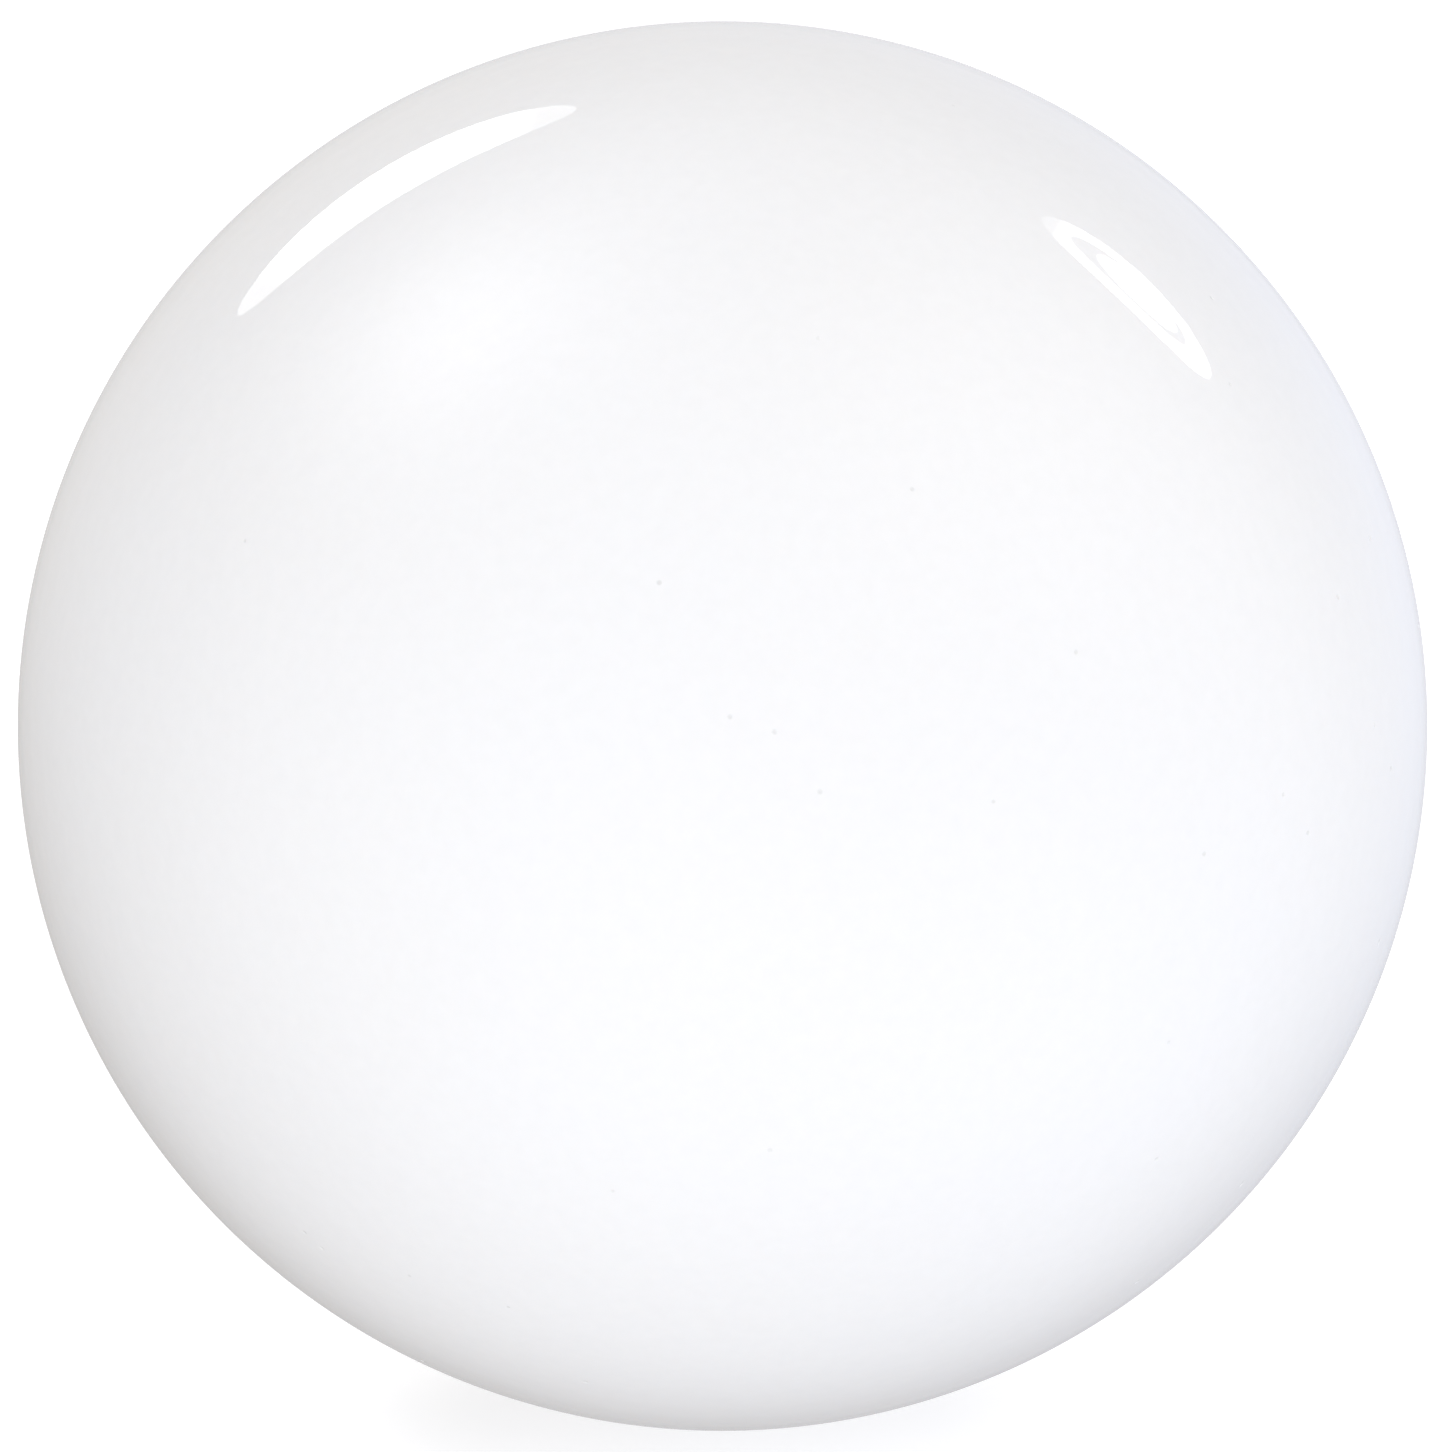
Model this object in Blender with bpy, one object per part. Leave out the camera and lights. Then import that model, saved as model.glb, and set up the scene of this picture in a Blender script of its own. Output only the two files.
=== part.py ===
"""Pool cue ball: one solid ball of cast resin, 57.15 mm across.

The real ball is a single piece. It is cast solid, then turned, ground and polished, so it has no
core, shell, seam or insert, and this model has one body. Its origin is at the ball's centre.
"""

import math

import bmesh
import bpy
from mathutils import Vector

# Driving dimension: the 2 1/4 inch standard size of a pool ball.
BALL_DIAMETER = 0.05715
BALL_RADIUS = BALL_DIAMETER / 2

# The surface starts as a cube with this many squares along each edge. An even count puts a point
# at both ends of X, Y and Z, so that the ball measures its full diameter along all three axes.
SQUARES_PER_EDGE = 24

# The resin: a very slightly warm white with a polished surface.
RESIN_WHITE = (0.93, 0.93, 0.925, 1.0)
RESIN_ROUGHNESS = 0.06
RESIN_IOR = 1.5


def clear_scene():
    for obj in list(bpy.data.objects):
        bpy.data.objects.remove(obj, do_unlink=True)


def make_resin():
    material = bpy.data.materials.new("white_resin")
    material.use_nodes = True
    shader = material.node_tree.nodes["Principled BSDF"]
    shader.inputs["Base Color"].default_value = RESIN_WHITE
    shader.inputs["Roughness"].default_value = RESIN_ROUGHNESS
    shader.inputs["Metallic"].default_value = 0.0
    shader.inputs["IOR"].default_value = RESIN_IOR
    return material


def wrap_onto_sphere(point, radius):
    """A point of the cube from -1 to 1, moved onto a sphere about its centre.

    Equal steps along the cube become nearly equal angles, so the faces keep nearly one size.
    """
    warped = Vector([math.tan(math.pi / 4 * step) for step in point])
    return warped.normalized() * radius


def make_ball_mesh(name, radius):
    mesh = bpy.data.meshes.new(name)
    bm = bmesh.new()
    bmesh.ops.create_cube(bm, size=2.0)
    bmesh.ops.subdivide_edges(bm, edges=bm.edges[:], cuts=SQUARES_PER_EDGE - 1, use_grid_fill=True)
    for vert in bm.verts:
        vert.co = wrap_onto_sphere(vert.co, radius)
    # A square of a sphere isn't flat. Cut along its shorter diagonal, it keeps the ball convex.
    bmesh.ops.triangulate(bm, faces=bm.faces[:], quad_method="SHORT_EDGE")
    bmesh.ops.recalc_face_normals(bm, faces=bm.faces[:])
    bm.to_mesh(mesh)
    bm.free()
    mesh.shade_smooth()
    return mesh


def make_cue_ball():
    ball = bpy.data.objects.new("cue_ball", make_ball_mesh("cue_ball", BALL_RADIUS))
    ball.data.materials.append(make_resin())
    bpy.context.scene.collection.objects.link(ball)
    return ball


clear_scene()
make_cue_ball()
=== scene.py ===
"""Looks of the pool cue ball: a fine, polished resin ball in a white light tent with two softboxes."""

import math
import random

import bmesh
import bpy
from mathutils import Matrix, Vector
from mathutils.kdtree import KDTree


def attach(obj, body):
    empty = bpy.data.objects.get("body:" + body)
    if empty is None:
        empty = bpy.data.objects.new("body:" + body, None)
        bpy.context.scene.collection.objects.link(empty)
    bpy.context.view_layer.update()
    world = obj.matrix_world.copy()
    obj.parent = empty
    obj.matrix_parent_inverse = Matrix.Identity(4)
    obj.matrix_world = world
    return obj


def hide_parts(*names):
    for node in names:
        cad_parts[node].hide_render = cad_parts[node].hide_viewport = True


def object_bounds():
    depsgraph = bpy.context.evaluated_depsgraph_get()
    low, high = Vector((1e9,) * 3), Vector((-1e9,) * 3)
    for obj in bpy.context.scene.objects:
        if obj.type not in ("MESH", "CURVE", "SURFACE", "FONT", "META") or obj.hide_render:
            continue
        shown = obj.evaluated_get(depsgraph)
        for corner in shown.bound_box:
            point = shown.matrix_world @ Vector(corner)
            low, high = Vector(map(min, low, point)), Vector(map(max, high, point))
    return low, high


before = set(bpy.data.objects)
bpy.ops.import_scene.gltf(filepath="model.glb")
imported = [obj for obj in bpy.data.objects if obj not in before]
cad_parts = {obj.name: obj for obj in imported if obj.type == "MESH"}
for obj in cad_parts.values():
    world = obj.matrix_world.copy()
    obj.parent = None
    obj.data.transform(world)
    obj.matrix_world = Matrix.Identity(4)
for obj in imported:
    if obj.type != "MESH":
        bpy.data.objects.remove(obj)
CAD_LOW, CAD_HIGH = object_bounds()

# ---------------------------------------------------------------- sizes, in metres
CENTRE = (CAD_LOW + CAD_HIGH) / 2
RADIUS = (CAD_HIGH.x - CAD_LOW.x) / 2
MM = 0.001

# The ball's fine mesh: squares along each edge of the cube that is wrapped onto the sphere.
SQUARES_PER_EDGE = 80

# Pinholes: tiny open pores that polishing leaves in cast resin. Bubbles drift to one side of the
# mould, so most of them are there.
PINHOLE_COUNT = 44
PINHOLE_RADIUS = (0.08 * MM, 0.12 * MM)
PINHOLE_DEPTH = 0.25            # of its radius
PINHOLE_SIDES = 12
PINHOLE_DENSE_SIDE = (0.6, -0.7, -0.4)
PINHOLE_CROWDING = 3            # 0 scatters them evenly, more crowds them to the dense side
PINHOLE_SHADE = (0.08, 0.24)     # painted shade: how far a pinhole's floor is darkened towards the grey of pits and flecks
PINHOLE_SHADE_DEEPENING = 1.6           # painted shade on a pinhole's wall: as dark as its floor from 1 / 1.6 of the depth down
# Rings of one pinhole from its rim inwards: (share of the radius, share of the depth).
PINHOLE_PROFILE = ((1.3, 0.0), (1.0, 0.08), (0.8, 0.42), (0.5, 0.82), (0.25, 0.97))
PINHOLE_SEED = 11

# The resin's own surface. A pattern's scale is how many of its features fit in a metre.
RESIN_WHITE = (0.930, 0.931, 0.933)
RESIN_WARM = (0.934, 0.928, 0.918)
# The grey that flecks in the resin have, and that painted shade darkens the pinholes towards.
FLECK_AND_PIT_SHADE_GREY = (0.42, 0.41, 0.39)
RESIN_IOR = 1.5
RESIN_ROUGHNESS = 0.022
RESIN_GLOW_DEPTH = 0.6 * MM     # how far light spreads under the surface
CLOUD_SCALE = 55.0
CLOUD_WARMTH = 0.45             # how far the clouds go towards RESIN_WARM
GRAIN_SCALE = 1500.0
GRAIN_SHADE = (0.988, 1.006)    # darkest and lightest grain
FLECK_SCALE = 330.0
FLECK_SIZE = (0.012, 0.035)     # where a fleck starts to fade and ends, in cells of its pattern
FLECK_RARITY = 0.97             # this share of the cells has no fleck
FLECK_GREY = 0.22
POLISH_SCALE = 130.0
POLISH_CHANGE = (-0.005, 0.009)     # added to the roughness in the best and the worst patches
WORN_SCALE = 70.0               # hairlines show only in worn patches
SCUFF_ROUGHNESS = 0.04
PORE_ROUGHNESS = 0.4
# Two sets of hairlines: (turn, scale along X, Y and Z, width).
HAIRLINES = (
    ((0.4, 0.9, 0.3), (35.0, 35.0, 4200.0), 0.012),
    ((1.3, 0.2, 1.1), (4600.0, 40.0, 40.0), 0.010),
)
PEEL_SCALE = 420.0
PEEL_DEPTH = 0.0008 * MM
PEEL_STRENGTH = 0.35

# ---------------------------------------------------------------- studio
# A direction is (side, height) in degrees: side turns from the camera's side of the ball towards
# its right, and height is above the horizon.
CAMERA_HEIGHT = 10.0
CAMERA_LENS = 200.0
CAMERA_SENSOR = 36.0
BALL_SHARE_OF_FRAME = 0.971     # the ball's diameter over the frame's longer side

# The light tent: a faint glow all round, and wide, soft patches where lamps shine on the cloth:
# (name, side, height, tightness, brightness, tint).
TINTS = {
    "white": (1.0, 1.0, 1.0),
    "clear": (0.97, 1.0, 1.06),
    "cool": (0.94, 1.0, 1.14),
    "blue": (0.88, 1.0, 1.30),
}
TENT_GLOW = (0.15, 0.13, 0.11)
TENT_PATCHES = (
    ("front", -10, 0, 1, 0.80, "clear"),
    ("below", 0, -60, 2, 0.50, "clear"),
    ("left_low", -75, -30, 2, 0.40, "white"),
    ("left_over", -90, 65, 8, 1.10, "clear"),
    ("left_lamp", -90, 55, 24, 1.10, "white"),
    ("right_over", 75, 40, 4, 1.00, "white"),
    ("right_low", 90, -25, 4, 0.85, "cool"),
    ("rear_left", -155, 10, 12, 0.20, "white"),
    ("rear_right", 150, 0, 8, 0.45, "blue"),
    ("behind", 180, 0, 4, 0.40, "white"),
)

# Two oval softboxes that face the ball. A face is measured from -1 to 1 along its length and its
# width. Its light falls at both ends of the length, over the stretch fade, to low_tip and high_tip.
SOFTBOXES = (
    {"name": "softbox_left", "side": -146.5, "height": 37.5, "roll": 139.5,
     "length": 0.385, "width": 0.146,
     "fade": (0.62, 0.78), "low_tip": 0.24, "high_tip": 0.19, "has_ring": False},
    {"name": "softbox_right", "side": 126.0, "height": 37.5, "roll": -123.3,
     "length": 0.258, "width": 0.122,
     "fade": (0.74, 0.86), "low_tip": 0.13, "high_tip": 1.0, "has_ring": True},
)
SOFTBOX_DISTANCE = 0.70
SOFTBOX_RADIANCE = 6.0
# The dim ring lies inside the hole of the bright rim and outside the bright middle panel. Both
# are ovals: (centre, reach).
RIM_HOLE = ((-0.03, 0.02), (0.68, 0.60))
PANEL = ((0.04, 0.08), (0.46, 0.54))
RING_GLOW = 0.05
OVAL_EDGE = 0.06                # how far an oval's edge fades, in squared reach

# A round fill light straight behind the ball, so that it whitens the ball's back and leaves the
# side that faces the camera alone. It isn't seen in reflections.
BACK_FILL_SIZE = 0.5
BACK_FILL_DISTANCE = 1.0
BACK_FILL_RADIANCE = 3.6

BACKDROP_GLOW = 1.1             # a little over white, so that the backdrop is plain white
FLOOR_SIDE = 12.0
FLOOR_WHITE = (0.86, 0.86, 0.86)
FLOOR_GLOW = 0.36
SHADOW_REACH = 0.15 * RADIUS    # the ball shades the floor only where it is nearer than this
SHADOW_DEPTH = 0.09


# ---------------------------------------------------------------- ball mesh
def wrap_onto_sphere(point, radius):
    """A point of the cube from -1 to 1, moved onto a sphere: equal steps become equal angles."""
    warped = Vector([math.tan(math.pi / 4 * step) for step in point])
    return warped.normalized() * radius


def pinhole_directions(count, rng):
    """Directions scattered at random over the ball, more of them on its dense side."""
    dense_side = Vector(PINHOLE_DENSE_SIDE).normalized()
    found = []
    while len(found) < count:
        spot = Vector([rng.gauss(0, 1) for _ in range(3)]).normalized()
        welcome = ((1 + dense_side.dot(spot)) / 2) ** PINHOLE_CROWDING
        if rng.random() < welcome:
            found.append(spot)
    return found


def sink_pinhole(bm, face, radius, pit_shade, pore_shade):
    """Replaces one square of the mesh with a small round pit in a fan of triangles, and paints shade
    into the pit that darkens towards its floor.
    """
    corners = [loop.vert for loop in face.loops]
    centre = face.calc_center_median()
    outward = centre.normalized()
    along = (corners[0].co - centre).normalized()
    along = (along - outward * along.dot(outward)).normalized()
    across = outward.cross(along)
    on_sphere = outward * corners[0].co.length
    depth = radius * PINHOLE_DEPTH
    bm.faces.remove(face)

    rings = []
    for reach, sunk in PINHOLE_PROFILE:
        ring = []
        for step in range(PINHOLE_SIDES):
            angle = 2 * math.pi * step / PINHOLE_SIDES
            spot = on_sphere + (along * math.cos(angle) + across * math.sin(angle)) * radius * reach
            spot = spot.normalized() * on_sphere.length - outward * depth * sunk
            vert = bm.verts.new(spot)
            # Painted shade: the pit's wall darkens with depth, as shade falls deeper in it.
            vert[pore_shade] = pit_shade * min(1.0, PINHOLE_SHADE_DEEPENING * sunk)
            ring.append(vert)
        rings.append(ring)
    bottom = bm.verts.new(on_sphere - outward * depth)
    bottom[pore_shade] = pit_shade

    rim = rings[0]
    share = PINHOLE_SIDES // len(corners)
    for number, corner in enumerate(corners):
        # Each corner serves the stretch of the rim that is centred on it.
        start = number * share - share // 2
        spots = [rim[(start + step) % PINHOLE_SIDES] for step in range(share + 1)]
        for near, far in zip(spots, spots[1:]):
            bm.faces.new((corner, far, near))
        next_corner = corners[(number + 1) % len(corners)]
        bm.faces.new((corner, next_corner, spots[-1]))
    for outer, inner in zip(rings, rings[1:]):
        for step in range(PINHOLE_SIDES):
            after = (step + 1) % PINHOLE_SIDES
            bm.faces.new((outer[step], outer[after], inner[after], inner[step]))
    for step in range(PINHOLE_SIDES):
        after = (step + 1) % PINHOLE_SIDES
        bm.faces.new((rings[-1][step], rings[-1][after], bottom))


def make_ball():
    """The polished ball, with its pinholes as real pits in the mesh."""
    rng = random.Random(PINHOLE_SEED)
    mesh = bpy.data.meshes.new("polished_ball")
    bm = bmesh.new()
    bmesh.ops.create_cube(bm, size=2.0)
    bmesh.ops.subdivide_edges(bm, edges=bm.edges[:], cuts=SQUARES_PER_EDGE - 1, use_grid_fill=True)
    for vert in bm.verts:
        vert.co = wrap_onto_sphere(vert.co, RADIUS)
    # Each vertex keeps how much painted shade darkens it inside a pinhole.
    pore_shade = bm.verts.layers.float.new("pore_shade")

    bm.faces.ensure_lookup_table()
    squares = list(bm.faces)
    tree = KDTree(len(squares))
    for number, face in enumerate(squares):
        tree.insert(face.calc_center_median(), number)
    tree.balance()
    used = set()
    for direction in pinhole_directions(PINHOLE_COUNT, rng):
        number = tree.find(direction * RADIUS)[1]
        radius = rng.uniform(*PINHOLE_RADIUS)
        pit_shade = rng.uniform(*PINHOLE_SHADE)
        if number not in used:
            used.add(number)
            sink_pinhole(bm, squares[number], radius, pit_shade, pore_shade)
    bmesh.ops.recalc_face_normals(bm, faces=bm.faces[:])
    bm.to_mesh(mesh)
    bm.free()
    mesh.shade_smooth()
    ball = bpy.data.objects.new("polished_ball", mesh)
    ball.location = CENTRE
    bpy.context.scene.collection.objects.link(ball)
    return ball


# ---------------------------------------------------------------- resin material
class Nodes:
    """Short calls to add and join nodes in one tree."""

    def __init__(self, tree):
        self.tree = tree

    def add(self, kind, operation=None, **inputs):
        node = self.tree.nodes.new(kind)
        if operation is not None:
            node.operation = operation
        for name, value in inputs.items():
            self.put(node, name.replace("_", " "), value)
        return node

    def put(self, node, socket, value):
        target = node.inputs[socket]
        if isinstance(value, bpy.types.NodeSocket):
            self.tree.links.new(value, target)
        else:
            target.default_value = value

    def math(self, operation, first, second=0.0):
        node = self.add("ShaderNodeMath", operation)
        self.put(node, 0, first)
        self.put(node, 1, second)
        return node.outputs[0]

    def noise(self, place, scale, detail, roughness=0.5):
        node = self.add("ShaderNodeTexNoise", Vector=place, Scale=scale, Detail=detail)
        node.inputs["Roughness"].default_value = roughness
        return node.outputs[0]

    def mix(self, share, first, second):
        node = self.add("ShaderNodeMix")
        node.data_type = "RGBA"
        node.inputs["Factor"].default_value = 0.0
        self.put(node, 0, share)
        self.put(node, 6, first)
        self.put(node, 7, second)
        return node.outputs[2]

    def spread(self, value, low, high, to_low=0.0, to_high=1.0):
        node = self.add("ShaderNodeMapRange")
        node.inputs["Value"].default_value = 0.0
        self.put(node, 0, value)
        self.put(node, 1, low)
        self.put(node, 2, high)
        self.put(node, 3, to_low)
        self.put(node, 4, to_high)
        return node.outputs[0]


def hairlines(nodes, place, turn, scale, width):
    """Fine straight polishing lines: noise stretched a long way in one direction, cut to thin peaks."""
    mapping = nodes.add("ShaderNodeMapping", Vector=place, Rotation=turn, Scale=scale)
    lines = nodes.noise(mapping.outputs[0], 1.0, 2.0)
    off = nodes.math("ABSOLUTE", nodes.math("SUBTRACT", lines, 0.5))
    return nodes.spread(off, 0.0, width, 1.0, 0.0)


def make_resin():
    """Cast white resin: faint clouding and grain, grey flecks, painted shade in the pinholes, and a
    polish that varies a little.
    """
    material = bpy.data.materials.new("polished_white_resin")
    material.use_nodes = True
    tree = material.node_tree
    nodes = Nodes(tree)
    shader = tree.nodes["Principled BSDF"]
    place = nodes.add("ShaderNodeTexCoord").outputs["Object"]

    # Colour: slow clouds of a warmer white, a fine grain, grey flecks, and painted shade that darkens
    # the pinholes towards their floors.
    clouds = nodes.spread(nodes.noise(place, CLOUD_SCALE, 3.0), 0.35, 0.65)
    warmth = nodes.math("MULTIPLY", clouds, CLOUD_WARMTH)
    white = nodes.mix(warmth, (*RESIN_WHITE, 1), (*RESIN_WARM, 1))
    grain = nodes.spread(nodes.noise(place, GRAIN_SCALE, 3.0, 0.6), 0.3, 0.7, *GRAIN_SHADE)
    scaled = nodes.add("ShaderNodeVectorMath", "SCALE", Vector=white, Scale=grain)
    pore_shade = nodes.add("ShaderNodeAttribute")
    pore_shade.attribute_name = "pore_shade"
    flecks = nodes.add("ShaderNodeTexVoronoi", Vector=place, Scale=FLECK_SCALE)
    near = nodes.spread(flecks.outputs["Distance"], *FLECK_SIZE, 1.0, 0.0)
    rare = nodes.add("ShaderNodeSeparateColor")
    nodes.put(rare, 0, flecks.outputs["Color"])
    few = nodes.math("GREATER_THAN", rare.outputs[0], FLECK_RARITY)
    fleck = nodes.math("MULTIPLY", nodes.math("MULTIPLY", near, few), FLECK_GREY)
    # Flecks are the resin's own grey; in the pinholes the grey is painted shade.
    fleck_and_pit_shade = nodes.math("MAXIMUM", pore_shade.outputs["Fac"], fleck)
    nodes.put(shader, "Base Color", nodes.mix(fleck_and_pit_shade, scaled.outputs[0], (*FLECK_AND_PIT_SHADE_GREY, 1)))

    # Polish: nearly a mirror, a little duller in soft patches and along hairlines and pores.
    patches = nodes.spread(nodes.noise(place, POLISH_SCALE, 4.0, 0.55), 0.3, 0.75, *POLISH_CHANGE)
    lines = nodes.math("MAXIMUM", *[hairlines(nodes, place, *kind) for kind in HAIRLINES])
    worn = nodes.spread(nodes.noise(place, WORN_SCALE, 2.0), 0.45, 0.7)
    scuffs = nodes.math("MULTIPLY", nodes.math("MULTIPLY", lines, worn), SCUFF_ROUGHNESS)
    rough = nodes.math("ADD", nodes.math("ADD", patches, RESIN_ROUGHNESS), scuffs)
    rough = nodes.math("ADD", rough, nodes.math("MULTIPLY", pore_shade.outputs["Fac"], PORE_ROUGHNESS))
    nodes.put(shader, "Roughness", rough)

    # Relief: the faintest orange peel that a polished casting keeps, and the hairlines.
    peel = nodes.noise(place, PEEL_SCALE, 2.0)
    relief = nodes.math("SUBTRACT", peel, nodes.math("MULTIPLY", scuffs, 2.0))
    bump = nodes.add("ShaderNodeBump", Height=relief, Strength=PEEL_STRENGTH, Distance=PEEL_DEPTH)
    nodes.put(shader, "Normal", bump.outputs[0])

    shader.inputs["Metallic"].default_value = 0.0
    shader.inputs["IOR"].default_value = RESIN_IOR
    shader.inputs["Subsurface Weight"].default_value = 0.12
    shader.inputs["Subsurface Radius"].default_value = (1.0, 0.9, 0.8)
    shader.inputs["Subsurface Scale"].default_value = RESIN_GLOW_DEPTH
    return material


# ---------------------------------------------------------------- studio
def direction(side, height):
    """The unit vector for a direction: side 0 is the camera's side, 90 is its right."""
    turn, rise = math.radians(side), math.radians(height)
    return Vector((math.sin(turn) * math.cos(rise), -math.cos(turn) * math.cos(rise), math.sin(rise)))


def make_tent():
    """The world: soft patches of light all round the ball, behind a plain white backdrop."""
    world = bpy.data.worlds.new("light_tent")
    bpy.context.scene.world = world
    world.use_nodes = True
    tree = world.node_tree
    nodes = Nodes(tree)
    tree.nodes.clear()
    ray = nodes.add("ShaderNodeTexCoord").outputs["Generated"]
    total = None
    for name, side, height, tightness, brightness, tint in TENT_PATCHES:
        dot = nodes.add("ShaderNodeVectorMath", "DOT_PRODUCT")
        nodes.put(dot, 0, ray)
        nodes.put(dot, 1, direction(side, height))
        facing = nodes.math("POWER", nodes.math("MAXIMUM", dot.outputs["Value"], 0.0), tightness)
        glow = nodes.math("MULTIPLY", facing, brightness)
        patch = nodes.add("ShaderNodeVectorMath", "SCALE", Vector=TINTS[tint], Scale=glow)
        patch.label = name
        joined = nodes.add("ShaderNodeVectorMath", "ADD")
        nodes.put(joined, 0, patch.outputs[0])
        nodes.put(joined, 1, TENT_GLOW if total is None else total)
        total = joined.outputs[0]
    tent = nodes.add("ShaderNodeBackground", Color=total)
    backdrop = nodes.add("ShaderNodeBackground", Color=(1, 1, 1, 1), Strength=BACKDROP_GLOW)
    choose = nodes.add("ShaderNodeMixShader")
    nodes.put(choose, 0, nodes.add("ShaderNodeLightPath").outputs["Is Camera Ray"])
    nodes.put(choose, 1, tent.outputs[0])
    nodes.put(choose, 2, backdrop.outputs[0])
    output = nodes.add("ShaderNodeOutputWorld")
    nodes.put(output, "Surface", choose.outputs[0])


def oval(nodes, along, across, centre, reach):
    """A mask that is 1 inside an oval and 0 outside it."""
    parts = []
    for place, middle, size in zip((along, across), centre, reach):
        step = nodes.math("DIVIDE", nodes.math("SUBTRACT", place, middle), size)
        parts.append(nodes.math("MULTIPLY", step, step))
    return nodes.spread(nodes.math("ADD", *parts), 1 - OVAL_EDGE, 1 + OVAL_EDGE, 1.0, 0.0)


def softbox_face(light, box):
    """The pattern of light on a softbox: it fades at the tips, and may have a dim ring."""
    light.use_nodes = True
    nodes = Nodes(light.node_tree)
    emission = light.node_tree.nodes["Emission"]
    spot = nodes.add("ShaderNodeVectorMath", "MULTIPLY_ADD")
    nodes.put(spot, 0, nodes.add("ShaderNodeNewGeometry").outputs["Parametric"])
    nodes.put(spot, 1, (2, 2, 0))
    nodes.put(spot, 2, (-1, -1, 0))
    split = nodes.add("ShaderNodeSeparateXYZ", Vector=spot.outputs[0])
    along, across = split.outputs[0], split.outputs[1]
    start, end = box["fade"]
    low_tip = nodes.spread(along, -end, -start, box["low_tip"], 1.0)
    high_tip = nodes.spread(along, start, end, 1.0, box["high_tip"])
    strength = nodes.math("MULTIPLY", low_tip, high_tip)
    if box["has_ring"]:
        beyond_rim = nodes.math("SUBTRACT", 1.0, oval(nodes, along, across, *RIM_HOLE))
        lit = nodes.math("MAXIMUM", beyond_rim, oval(nodes, along, across, *PANEL))
        strength = nodes.math("MULTIPLY", strength, nodes.spread(lit, 0.0, 1.0, RING_GLOW, 1.0))
    nodes.put(emission, "Strength", strength)


def add_oval_light(name, length, width, radiance, away, distance, roll=0.0):
    """An oval area light that faces the ball and isn't seen by the camera itself."""
    light = bpy.data.lights.new(name, "AREA")
    light.shape = "ELLIPSE"
    light.size = length
    light.size_y = width
    # A flat light of power P and area A has a radiance of P / (pi A).
    light.energy = radiance * math.pi * (math.pi * length * width / 4)
    lamp = bpy.data.objects.new(name, light)
    facing = away.to_track_quat("Z", "Y").to_matrix().to_4x4()
    turn = Matrix.Rotation(math.radians(roll), 4, "Z")
    lamp.matrix_world = Matrix.Translation(CENTRE + away * distance) @ facing @ turn
    lamp.visible_camera = False
    bpy.context.scene.collection.objects.link(lamp)
    return lamp


def make_softbox(box):
    """One of the two oval softboxes, with its pattern of light."""
    away = direction(box["side"], box["height"])
    lamp = add_oval_light(box["name"], box["length"], box["width"], SOFTBOX_RADIANCE, away,
                          SOFTBOX_DISTANCE, box["roll"])
    softbox_face(lamp.data, box)


def make_back_fill():
    """The light that whitens the ball's back, level with the camera's line of sight."""
    away = direction(180, -CAMERA_HEIGHT)
    lamp = add_oval_light("back_fill", BACK_FILL_SIZE, BACK_FILL_SIZE, BACK_FILL_RADIANCE, away,
                          BACK_FILL_DISTANCE)
    lamp.visible_glossy = False


def make_floor():
    """A plain pale floor that the ball stands on, with a small soft shadow where they touch."""
    mesh = bpy.data.meshes.new("floor")
    half = FLOOR_SIDE / 2
    corners = [(-half, -half, 0), (half, -half, 0), (half, half, 0), (-half, half, 0)]
    mesh.from_pydata(corners, [], [(0, 1, 2, 3)])
    floor = bpy.data.objects.new("floor", mesh)
    floor.location = (CENTRE.x, CENTRE.y, CAD_LOW.z)
    material = bpy.data.materials.new("pale_floor")
    material.use_nodes = True
    nodes = Nodes(material.node_tree)
    shader = material.node_tree.nodes["Principled BSDF"]
    open_sky = nodes.add("ShaderNodeAmbientOcclusion", Distance=SHADOW_REACH)
    shade = nodes.spread(open_sky.outputs["AO"], 0.0, 1.0, 1 - SHADOW_DEPTH, 1.0)
    white = nodes.add("ShaderNodeVectorMath", "SCALE", Vector=FLOOR_WHITE, Scale=shade)
    nodes.put(shader, "Base Color", white.outputs[0])
    nodes.put(shader, "Emission Strength", nodes.math("MULTIPLY", shade, FLOOR_GLOW))
    shader.inputs["Emission Color"].default_value = (1, 1, 1, 1)
    shader.inputs["Roughness"].default_value = 0.9
    shader.inputs["Specular IOR Level"].default_value = 0.0
    mesh.materials.append(material)
    bpy.context.scene.collection.objects.link(floor)
    # The tent lights the ball from all round, so the floor is kept out of its light and mirror image.
    floor.visible_diffuse = False
    floor.visible_glossy = False
    floor.visible_transmission = False
    floor.visible_shadow = False


def make_camera():
    """Looks at the ball's centre from a little above, as far away as the ball's share needs."""
    data = bpy.data.cameras.new("camera")
    data.lens = CAMERA_LENS
    data.sensor_width = CAMERA_SENSOR
    reach = BALL_SHARE_OF_FRAME * CAMERA_SENSOR / 2 / CAMERA_LENS
    distance = RADIUS * math.sqrt(1 + 1 / reach**2)
    camera = bpy.data.objects.new("camera", data)
    back = direction(0, CAMERA_HEIGHT)
    camera.location = CENTRE + back * distance
    camera.rotation_mode = "QUATERNION"
    camera.rotation_quaternion = (-back).to_track_quat("-Z", "Y")
    data.clip_start = RADIUS / 10
    data.clip_end = 100
    bpy.context.scene.collection.objects.link(camera)
    bpy.context.scene.camera = camera


ball = make_ball()
ball.data.materials.append(make_resin())
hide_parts("cue_ball")
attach(ball, "root")

make_floor()
make_tent()
for box in SOFTBOXES:
    make_softbox(box)
make_back_fill()
make_camera()
bpy.context.scene.view_settings.view_transform = "Standard"
